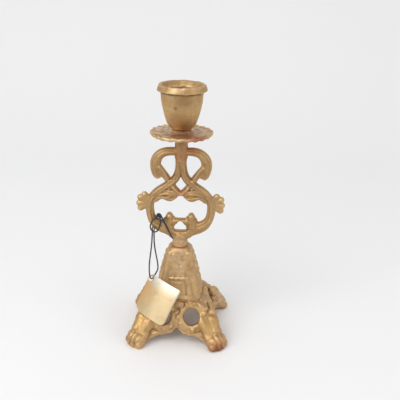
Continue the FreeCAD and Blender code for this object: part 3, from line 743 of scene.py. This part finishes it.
class CandlestickBrass(bpy.types.PropertyGroup):
    """Tones and skin of the castings."""

    tan: ToneProperty(name="Tan", description="Main tone of the brass", default=(0.50, 0.315, 0.15, 1.0))
    gold: ToneProperty(name="Gold", description="Cleaner, yellower brass", default=(0.60, 0.39, 0.175, 1.0))
    # Dulled brass; also used for the painted shade over the stem.
    dull_and_shade: ToneProperty(name="Dull and painted shade", description="Dulled brass", default=(0.40, 0.25, 0.125, 1.0))
    # Brown of the patina in the hollows; also used for the painted shadow over the cup's foot.
    tarnish_and_shade: ToneProperty(name="Tarnish and painted shadow", description="Brown in the hollows",
                          default=(0.16, 0.075, 0.03, 1.0))
    # Paler brass of rubbed edges, which also paints their highlights.
    wear_and_highlight: ToneProperty(name="Worn and highlit edges", description="Rubbed edges with painted highlights", default=(0.74, 0.56, 0.31, 1.0))
    copper: ToneProperty(name="Copper", description="Red patches", default=(0.56, 0.21, 0.115, 1.0))
    dusty: ToneProperty(name="Dusty", description="Pale dulled bloom", default=(0.86, 0.66, 0.48, 1.0))
    yellow: ToneProperty(name="Yellow", description="Yellow patches", default=(0.62, 0.38, 0.07, 1.0))
    roughness: FloatProperty(name="Roughness", description="Mean roughness of the metal", subtype="FACTOR",
                             default=0.49, min=0.0, max=1.0)
    grain: FloatProperty(name="Casting grain", description="Height of the uneven cast skin", unit="LENGTH",
                         default=0.00009)
    voxel: FloatProperty(name="Skin cell", description="Cell of the cast skin", unit="LENGTH", default=0.0004)


class CandlestickCord(bpy.types.PropertyGroup):
    """The black cord."""

    diameter: FloatProperty(name="Diameter", description="Thickness of the cord", unit="LENGTH",
                            default=0.001)
    black: ToneProperty(name="Black", description="Colour of the cord", default=(0.018, 0.018, 0.02, 1.0))
    lighter: ToneProperty(name="Rubbed", description="Paler rubbed threads", default=(0.07, 0.068, 0.07, 1.0))


class CandlestickTag(bpy.types.PropertyGroup):
    """The foil card."""

    # Painted reflection: warmer, darker gold by the curled side.
    foil: ToneProperty(name="Foil", description="Painted darker reflection in warm gold, by the curved side",
                       default=(0.82, 0.485, 0.21, 1.0))
    cream: ToneProperty(name="Cream foil", description="Paler gold over most of the card",
                        default=(0.72, 0.555, 0.325, 1.0))
    # Painted highlight: nearly white foil along the upper edge.
    pale: ToneProperty(name="Pale foil", description="Painted highlight, nearly white, along the upper edge",
                       default=(0.92, 0.87, 0.74, 1.0))
    roughness: FloatProperty(name="Roughness", description="Roughness of the foil", subtype="FACTOR",
                             default=0.3, min=0.0, max=1.0)
    steps: IntProperty(name="Steps", description="Cells across the card", default=36, min=8)


class CandlestickStage(bpy.types.PropertyGroup):
    """Floor and light."""

    floor: ToneProperty(name="Floor", description="Pale floor and backdrop", default=(0.90, 0.90, 0.905, 1.0))
    sky: FloatProperty(name="Sky", description="Strength of the light from above", default=0.75, min=0.0)
    ground: FloatProperty(name="Ground", description="Strength of the light from below", default=0.32,
                          min=0.0)
    key: FloatProperty(name="Key", description="Power of the large lamp", unit="POWER", default=7.6, min=0.0)
    fill: FloatProperty(name="Fill", description="Power of the side lamp", unit="POWER", default=1.3, min=0.0)
    card: FloatProperty(name="Card lamp", description="Power of the lamp that the foil shows", unit="POWER",
                        default=0.14, min=0.0)


class CANDLESTICK_OT_cup(bpy.types.Operator):
    """Turn the candle cup"""

    bl_idname = "candlestick.cup"
    bl_label = "Candle cup"

    def execute(self, context):
        cup = solid("cup_casting", *lathe(CUP_SECTION, CUP_AROUND))
        round_off(cup)
        points, normals = surface(cup)
        out, turn = polar(points)
        dents = lumps(points, CUP_DENTS, CUP_SEED)
        dents += eased(points[:, 2], *CUP_RIM_FADE) * waves(turn, CUP_RIM_WAVES)
        dents *= eased(points[:, 2], *CUP_SEAT_FADE) * (out >= CUP_SOCKET_RADIUS)
        points += normals * dents[:, None]
        points[:, 2] = np.minimum(points[:, 2], CAD_BOX[1][2] / MM)
        reshape(cup, points)
        mark_hollows(cup)
        paint(cup, brass("cast_brass_cup", CUP_PATCHES, CUP_STAINS_AND_SHADOW))
        settle(cup, "cast_brass", "cup", "candle_cup")
        return {"FINISHED"}


class CANDLESTICK_OT_pan(bpy.types.Operator):
    """Cast the drip pan with its crimped edge"""

    bl_idname = "candlestick.pan"
    bl_label = "Drip pan"

    scallops: IntProperty(name="Scallops", description="Crimps round the edge", default=22)

    def execute(self, context):
        pan = solid("pan_casting", *lathe(PAN_SECTION, PAN_AROUND))
        round_off(pan)
        points, normals = surface(pan)
        out, turn = polar(points)
        wave = np.cos(self.scallops * turn + waves(turn, PAN_UNEVEN) + PAN_LEAN * (out - PAN_LEAN_RADIUS))
        skin = lumps(points, PAN_LUMPS, PAN_SEED) * eased(out, *PAN_LUMPS_FADE)
        points[:, :2] *= (1.0 - PAN_DRAW * eased(out, *PAN_DRAW_FADE) * (1.0 - wave))[:, None]
        points[:, 2] += PAN_LIFT * eased(out, *PAN_LIFT_FADE) * wave
        reshape(pan, points + normals * skin[:, None])
        mark_hollows(pan)
        paint(pan, brass("cast_brass_pan", PAN_PATCHES, PAN_STAINS))
        settle(pan, "cast_brass", "stand", "drip_pan")
        return {"FINISHED"}


class CANDLESTICK_OT_stem(bpy.types.Operator):
    """Cast the openwork stem and chase its grooves"""

    bl_idname = "candlestick.stem"
    bl_label = "Openwork stem"

    def execute(self, context):
        look = context.scene.candlestick_brass
        parts = [node_part("stem_casting"), ball_part(NECK_ROOT, NECK_ROOT_HALF)]
        for side, (across, up, half) in product((-1, 1), WEB_ARM + BUD_SIDES + STEM_FILLS):
            parts.append(ball_part((side * across, 0.0, up), half, rings=8, around=12))
        stem = cast_together("stem_skin", parts, look.voxel, STEM_SMOOTHING)
        points, normals = surface(stem)
        flat = points[:, [0, 2]]
        flat[:, 0] = np.abs(flat[:, 0])
        across, up = flat.T
        points[:, 2] -= BUD_DROP * band(across, *BUD_ACROSS) * (up < BUD_TOP) * eased(up, *BUD_RISE)
        points[:, 2] += WEB_PEAK * eased(across, *WEB_ACROSS) * eased(up, *WEB_RISE) * (up > WEB_BOTTOM)
        sunk = carved(flat, STEM_STROKES) * eased(np.abs(normals[:, 1]), *STEM_FACING)
        out, up = polar(points)[0], points[:, 2]
        for ring_up, width, depth in STEM_RINGS:
            sunk += depth * np.exp(-((up - ring_up) / width) ** 2) * (out < STEM_RING_REACH)
        inside = (out < STEM_BORE_RADIUS) & ((up < STEM_BORE_ENDS[0]) | (up > STEM_BORE_ENDS[1]))
        sunk *= band(up, *STEM_ENDS) * ~inside
        reshape(stem, points - normals * sunk[:, None])
        roughen(stem, look.grain / MM, STEM_SEED)
        mark_hollows(stem)
        paint(stem, brass("cast_brass_stem", STEM_PATCHES_AND_SHADE, STEM_STAINS, STAND_GRIME))
        settle(stem, "cast_brass", "stand", "stem_casting")
        return {"FINISHED"}


class CANDLESTICK_OT_base(bpy.types.Operator):
    """Cast the footed base with its collars, leaves and paws"""

    bl_idname = "candlestick.base"
    bl_label = "Footed base"

    def side_parts(self):
        """Collars, beds and beads of the front side, and the bridge between them."""
        facing = np.array([0.0, -cos(LIGHT_LEAN), sin(LIGHT_LEAN)])
        high = np.array([0.0, sin(LIGHT_LEAN), cos(LIGHT_LEAN)])
        parts = [ball_part(BRIDGE_CENTRE, BRIDGE_HALF)]
        for side in (-1, 1):
            centre = np.array([side * LIGHT_ACROSS, -LIGHT_FACE, LIGHT_UP]) + facing * COLLAR_FORWARD
            parts.append(ring_part(centre, facing, COLLAR_RADIUS, COLLAR_THICK))
            parts.append(ring_part(centre - facing * BED_BACK, facing, BED_RADIUS, BED_THICK))
            for bead in range(BEADS):
                turn = 2 * pi * (bead + 0.5) / BEADS
                out = np.array([cos(turn), 0.0, 0.0]) + high * sin(turn)
                radius = BEAD_RADIUS + BEAD_CHANGE * sin(BEAD_CHANGES * turn + side)
                place = centre + out * (COLLAR_RADIUS + BEAD_OUT) + facing * BEAD_FORWARD
                parts.append(ball_part(place, (radius, radius, radius), rings=6, around=8))
        return parts

    def corner_parts(self):
        """Pads of the paws, on the diagonals, and legs, turned towards the left and right sides."""
        pad = ball_part((PAW_OUT * DIAGONAL, -PAW_OUT * DIAGONAL, PAW_UP), PAW_HALF, -pi / 4)
        parts = [quarter_turned(pad, quarter) for quarter in range(4)]
        for right, front in product((-1, 1), repeat=2):
            for (x, y, z), half in LEG_FORMS:
                parts.append(ball_part((x * right, y * front, z), half, LEG_TURN * right * front))
        return parts

    def leaf_parts(self):
        """Leaf lobes up the right side."""
        parts = []
        for (up, spread, radius), side in product(LEAF_LOBES, (-1, 1)):
            face = LEAF_FACE + max(0.0, LEAF_FACE_TOP - up) * LEAF_FACE_SLOPE
            half = (radius, radius * LEAF_WIDE, radius * LEAF_TALL)
            parts.append(ball_part((face - radius * LEAF_SINK, side * spread, up), half, rings=8, around=12))
        return parts

    def relief(self, points, normals):
        """How far the relief of the four sides, paws and legs sinks each point."""
        sunk = np.zeros(len(points))
        for quarter in range(4):
            spin = spin_matrix(-pi / 2 * quarter).T
            placed, facing = points @ spin, normals @ spin
            across, back, up = placed.T
            front = carved(placed[:, [0, 2]], SIDE_STROKES)
            for bottom, top, half, rise in SOFT_PANELS:
                height = band(up, bottom, bottom + SOFT_PANEL_FADE, top - SOFT_PANEL_FADE, top)
                front -= rise * eased(np.abs(across), half, half - SOFT_PANEL_FADE) * height
            sunk += front * eased(-facing[:, 1], *SIDE_FACING) * (back < SIDE_FROM)
            along = np.stack([across - back, across + back], axis=1) * DIAGONAL
            sunk += carved(along, TOE_STROKES) * band(up, *TOE_HEIGHTS) * eased(along[:, 0], *TOE_REACH)
            sunk += carved(along, LEG_STROKES) * eased(facing[:, 2], *LEG_FACING) * (up < LEG_TOP)
        return sunk

    def execute(self, context):
        look = context.scene.candlestick_brass
        parts = [node_part("base_casting")]
        for quarter in range(4):
            parts.extend(quarter_turned(part, quarter) for part in self.side_parts())
        parts.extend(self.corner_parts())
        for quarter in (0, 2):
            parts.extend(quarter_turned(part, quarter) for part in self.leaf_parts())
        base = cast_together("base_skin", parts, look.voxel, BASE_SMOOTHING)
        points, normals = surface(base)
        sunk = self.relief(points, normals) * eased(points[:, 2], *BASE_TOP_FADE)
        reshape(base, points - normals * sunk[:, None])
        roughen(base, look.grain / MM, BASE_SEED)
        points = surface(base)[0]
        low, high = np.array(CAD_BOX) / MM
        points[:, :2] = np.clip(points[:, :2], low[:2], high[:2])
        points[:, 2] = np.clip(points[:, 2], 0.0, BASE_TOP)
        reshape(base, points)
        mark_hollows(base)
        paint(base, brass("cast_brass_base", BASE_PATCHES, BASE_STAINS, STAND_GRIME))
        settle(base, "cast_brass", "stand", "base_casting")
        return {"FINISHED"}


class CANDLESTICK_OT_fixings(bpy.types.Operator):
    """Finish the screw, washer and stud"""

    bl_idname = "candlestick.fixings"
    bl_label = "Fixings"

    def execute(self, context):
        nodes = Nodes(bpy.data.materials.new("plain_steel"))
        streaks = nodes.noise(size=0.8, detail=3.0)
        nodes.set("Base Color", nodes.mix(streaks, STEEL_DARK, STEEL_PALE))
        nodes.set("Metallic", 1.0)
        nodes.set("Roughness", nodes.span(streaks, low=0.3, high=0.7, start=0.28, end=0.46))
        nodes.bump(streaks, strength=0.2, depth=0.08)
        for name in ("base_screw", "base_washer", "cup_stud"):
            paint(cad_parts[name], nodes.owner)
        return {"FINISHED"}


class CANDLESTICK_OT_cord(bpy.types.Operator):
    """Tie the black cord"""

    bl_idname = "candlestick.cord"
    bl_label = "Cord and knot"

    def cord_material(self, cord):
        """Matt black twisted cord."""
        nodes = Nodes(bpy.data.materials.new("black_cord"))
        threads = nodes.noise(size=0.35, detail=3.0)
        lighter = nodes.span(threads, low=0.5, high=0.75)
        nodes.set("Base Color", nodes.mix(lighter, cord.black, cord.lighter))
        nodes.set("Roughness", nodes.span(threads, low=0.3, high=0.7, start=0.55, end=0.75))
        nodes.set("Sheen Weight", 0.25)
        nodes.bump(threads, strength=0.5, depth=0.15)
        return nodes.owner

    def strand(self, name, route, diameter, material):
        """A round cord on one smooth line with the route's points as its controls."""
        curve = bpy.data.curves.new(name, "CURVE")
        curve.dimensions = "3D"
        curve.bevel_depth = diameter / 2
        curve.bevel_resolution = 4
        curve.use_fill_caps = True
        line = curve.splines.new("NURBS")
        line.points.add(len(route) - 1)
        for point, place in zip(line.points, route):
            point.co = (*metres(place), 1.0)
        line.order_u = 3
        line.use_endpoint_u = True
        line.resolution_u = 8
        curve.materials.append(material)
        return link(name, curve)

    def knot_route(self):
        """The round line of a trefoil knot."""
        route = []
        for step in range(KNOT_POINTS + 1):
            turn = 2 * pi * step / KNOT_POINTS
            out = KNOT_RADIUS * (1.0 + KNOT_WAVE * cos(KNOT_WAVES * turn))
            route.append((KNOT_CENTRE[0] + out * cos(KNOT_TURNS * turn),
                          KNOT_CENTRE[1] + KNOT_DEPTH * KNOT_RADIUS * sin(KNOT_WAVES * turn),
                          KNOT_CENTRE[2] + out * sin(KNOT_TURNS * turn)))
        return route

    def execute(self, context):
        cord = context.scene.candlestick_cord
        material = self.cord_material(cord)
        hitch = self.strand("cord_hitch", HITCH_ROUTE, cord.diameter, material)
        settle(hitch, "black_cord", "stand", "tag_cord_hitch")
        tails = self.strand("cord_tails", TAILS_ROUTE, cord.diameter, material)
        settle(tails, "black_cord", "stand", "tag_cord_tails")
        drop = self.strand("cord_drop", DROP_ROUTE, cord.diameter, material)
        settle(drop, "black_cord", "tag_loop", "tag_cord_drop")
        knot = self.strand("cord_knot", self.knot_route(), cord.diameter, material)
        settle(knot, "black_cord", "stand", "tag_cord_knot")
        return {"FINISHED"}


class CANDLESTICK_OT_tag(bpy.types.Operator):
    """Cut and curl the card tag"""

    bl_idname = "candlestick.tag"
    bl_label = "Card tag"

    def card_rows(self, steps):
        """Points of the flat card, row by row, drawn in to its rounded corners."""
        left, right = -TAG_HOLE_FROM_SIDE, TAG_WIDTH - TAG_HOLE_FROM_SIDE
        top, bottom = TAG_HOLE_FROM_TOP, TAG_HOLE_FROM_TOP - TAG_LENGTH

        def drawn_in(up, upper, lower):
            """How far the corners of one side draw it in at a height."""
            for radius, gap in ((upper, top - up), (lower, up - bottom)):
                if gap < radius:
                    return radius - sqrt(max(radius * radius - (radius - gap) ** 2, 0.0))
            return 0.0

        heights = [0.5 - 0.5 * cos(pi * row / steps) for row in range(steps + 1)]
        rows = []
        for share in heights:
            up = top + (bottom - top) * share
            start = left + drawn_in(up, TAG_CORNERS[0], TAG_CORNERS[3])
            end = right - drawn_in(up, TAG_CORNERS[1], TAG_CORNERS[2])
            rows.append([(start + (end - start) * column / steps, up) for column in range(steps + 1)])
        return rows

    def card_axes(self):
        """Directions across the card, up along it and out of its face."""
        level = Vector((cos(TAG_YAW), -sin(TAG_YAW), 0.0))
        facing = Vector((-sin(TAG_YAW) * cos(TAG_LEAN), -cos(TAG_YAW) * cos(TAG_LEAN),
                         sin(TAG_LEAN)))
        down = facing.cross(level)
        down = down if down.z < 0 else -down
        wide = level * cos(TAG_SKEW) + down * sin(TAG_SKEW)
        return np.array(wide), np.array(facing.cross(wide)), np.array(facing)

    def foil(self, tag, wide, high):
        """Gold foil, with a painted darker, warmer reflection in one corner and a painted highlight along its
        upper edge.
        """
        nodes = Nodes(bpy.data.materials.new("gold_foil"))
        # Painted darker reflection of the curled side, in warmer gold.
        shaded_reflection = np.array(TAG_HOLE) + wide * TAG_SHADED_REFLECTION[0] + high * TAG_SHADED_REFLECTION[1]
        colour = nodes.mix(nodes.near(shaded_reflection, TAG_SHADED_REFLECTION_REACH), tag.cream, tag.foil)
        lighter = 0.0
        # Painted highlight along the upper edge of the card.
        for along in TAG_HIGHLIGHT_ALONG:
            edge = np.array(TAG_HOLE) + wide * along + high * TAG_HIGHLIGHT_UP
            lighter = nodes.math("MAXIMUM", lighter, nodes.near(edge, TAG_HIGHLIGHT_REACH))
        nodes.set("Base Color", nodes.mix(lighter, colour, tag.pale))
        nodes.set("Metallic", 1.0)
        rubs = nodes.noise(size=5.0, detail=2.0, shift=0.4)
        smooth, rough = tag.roughness - 0.04, tag.roughness + 0.06
        nodes.set("Roughness", nodes.span(rubs, low=0.3, high=0.75, start=smooth, end=rough))
        return nodes.owner

    def execute(self, context):
        tag = context.scene.candlestick_tag
        steps = tag.steps
        points = np.array([place for row in self.card_rows(steps) for place in row])
        gap = np.hypot(points[:, 0], points[:, 1])
        nearest = int(np.argmin(gap))
        faces = []
        for row, column in product(range(steps), range(steps)):
            start = row * (steps + 1) + column
            face = [start, start + steps + 1, start + steps + 2, start + 1]
            if nearest not in face:
                faces.append(face)
        pushed = TAG_HOLE_RADIUS + gap * ((TAG_HOLE_REACH - 1) / TAG_HOLE_REACH)
        pushed = np.where(gap < TAG_HOLE_REACH * TAG_HOLE_RADIUS, pushed, gap)
        spread = points * (pushed / np.maximum(gap, TAG_HOLE_LEAST))[:, None]
        middle = TAG_WIDTH / 2 - TAG_HOLE_FROM_SIDE
        crown = sqrt(TAG_CURL ** 2 - middle ** 2)
        lift = np.sqrt(TAG_CURL ** 2 - (spread[:, 0] - middle) ** 2) - crown
        wide, high, facing = self.card_axes()
        places = (np.outer(spread[:, 0], wide) + np.outer(spread[:, 1], high)
                  + np.outer(lift - TAG_THICK / 2, facing) + np.array(TAG_HOLE))
        card = solid("tag_card", places, faces)
        thick = card.modifiers.new("Thickness", "SOLIDIFY")
        thick.thickness = TAG_THICK * MM
        thick.offset = 1.0
        bake_modifiers(card)
        paint(card, self.foil(tag, wide, high))
        settle(card, "foil_card", "tag_card", "hang_tag")
        return {"FINISHED"}


class CANDLESTICK_OT_stage(bpy.types.Operator):
    """Set the floor, the light and the camera"""

    bl_idname = "candlestick.stage"
    bl_label = "Floor, light and camera"

    def floor(self, colour):
        """A pale floor that sweeps up to a backdrop."""
        nodes = Nodes(bpy.data.materials.new("pale_floor"))
        shade = [part * FLOOR_SHADE for part in colour]
        nodes.set("Base Color", nodes.mix(nodes.noise(size=400.0, detail=2.0), colour, shade))
        nodes.set("Roughness", 0.9)
        start = FLOOR_BACK - FLOOR_BEND
        outline = [(FLOOR_FRONT, 0.0), (start, 0.0)]
        for step in range(1, FLOOR_STEPS + 1):
            turn = pi / 2 * step / FLOOR_STEPS
            outline.append((start + FLOOR_BEND * sin(turn), FLOOR_BEND - FLOOR_BEND * cos(turn)))
        outline.append((FLOOR_BACK, FLOOR_HEIGHT))
        points = [(side * FLOOR_HALF, along, up) for along, up in outline for side in (-1, 1)]
        faces = [[2 * i, 2 * i + 1, 2 * i + 3, 2 * i + 2] for i in range(len(outline) - 1)]
        floor = solid("floor_sweep", points, faces)
        paint(floor, nodes.owner)

    def world(self, stage):
        """Even light, stronger from above than from below."""
        nodes = Nodes(bpy.data.worlds.new("studio"), "Background")
        way = nodes.add("ShaderNodeSeparateXYZ", {0: nodes.coordinates["Generated"]})
        nodes.set("Color", (1.0, 1.0, 1.0, 1.0))
        nodes.set("Strength", nodes.span(way.outputs["Z"], *SKY_RANGE, stage.ground, stage.sky))
        return nodes.owner

    def lamp(self, name, place, size, power):
        """A square soft lamp that looks at the middle of the candlestick."""
        data = bpy.data.lights.new(name, "AREA")
        data.shape = "SQUARE"
        data.size = size * MM
        data.energy = power
        made = link(name, data)
        made.location = Vector(place) * MM
        made.rotation_euler = (Vector(LAMP_AIM) - Vector(place)).to_track_quat("-Z", "Y").to_euler()

    def camera(self):
        """The photograph's camera."""
        data = bpy.data.cameras.new("photo_camera")
        data.lens = CAMERA_LENS
        data.sensor_width = CAMERA_SENSOR
        data.clip_start = CAMERA_CLIP * MM
        camera = link("photo_camera", data)
        camera.matrix_world = (
            Matrix.Translation(Vector(CAMERA_PLACE) * MM) @ Matrix.Rotation(CAMERA_TURN, 4, "Z")
            @ Matrix.Rotation(CAMERA_TILT, 4, "X") @ Matrix.Rotation(CAMERA_ROLL, 4, "Z"))
        return camera

    def execute(self, context):
        scene = context.scene
        stage = scene.candlestick_stage
        scene.view_settings.view_transform = "Standard"
        self.floor(stage.floor)
        scene.world = self.world(stage)
        for name, place, size, setting in LAMPS:
            self.lamp(name, place, size, getattr(stage, setting))
        scene.camera = self.camera()
        return {"FINISHED"}


class CANDLESTICK_PT_panel(bpy.types.Panel):
    """Lists the pieces and their settings"""

    bl_idname = "CANDLESTICK_PT_panel"
    bl_label = "Candlestick"
    bl_space_type = "VIEW_3D"
    bl_region_type = "UI"
    bl_category = "Candlestick"

    def draw(self, context):
        """One button for each piece, then the settings of each group."""
        layout = self.layout
        for operator in PIECES:
            layout.operator(operator.bl_idname)
        for group in SETTINGS:
            box = layout.box()
            box.label(text=group)
            settings = getattr(context.scene, group)
            for key in type(settings).__annotations__:
                box.prop(settings, key)


SETTINGS = {
    "candlestick_brass": CandlestickBrass, "candlestick_cord": CandlestickCord,
    "candlestick_tag": CandlestickTag, "candlestick_stage": CandlestickStage}
PIECES = (
    CANDLESTICK_OT_stage, CANDLESTICK_OT_cup, CANDLESTICK_OT_pan, CANDLESTICK_OT_stem, CANDLESTICK_OT_base,
    CANDLESTICK_OT_fixings, CANDLESTICK_OT_tag, CANDLESTICK_OT_cord)


def register():
    """Makes the settings, operators and panel known to Blender."""
    for group, settings in SETTINGS.items():
        bpy.utils.register_class(settings)
        setattr(bpy.types.Scene, group, PointerProperty(type=settings))
    for operator in PIECES:
        bpy.utils.register_class(operator)
    bpy.utils.register_class(CANDLESTICK_PT_panel)


def unregister():
    """Takes them away again."""
    bpy.utils.unregister_class(CANDLESTICK_PT_panel)
    for operator in reversed(PIECES):
        bpy.utils.unregister_class(operator)
    for group, settings in SETTINGS.items():
        delattr(bpy.types.Scene, group)
        bpy.utils.unregister_class(settings)


def main():
    """Registers the add-on and builds every piece in order."""
    register()
    for operator in PIECES:
        group, name = operator.bl_idname.split(".")
        getattr(getattr(bpy.ops, group), name)()


if __name__ == "__main__":
    main()
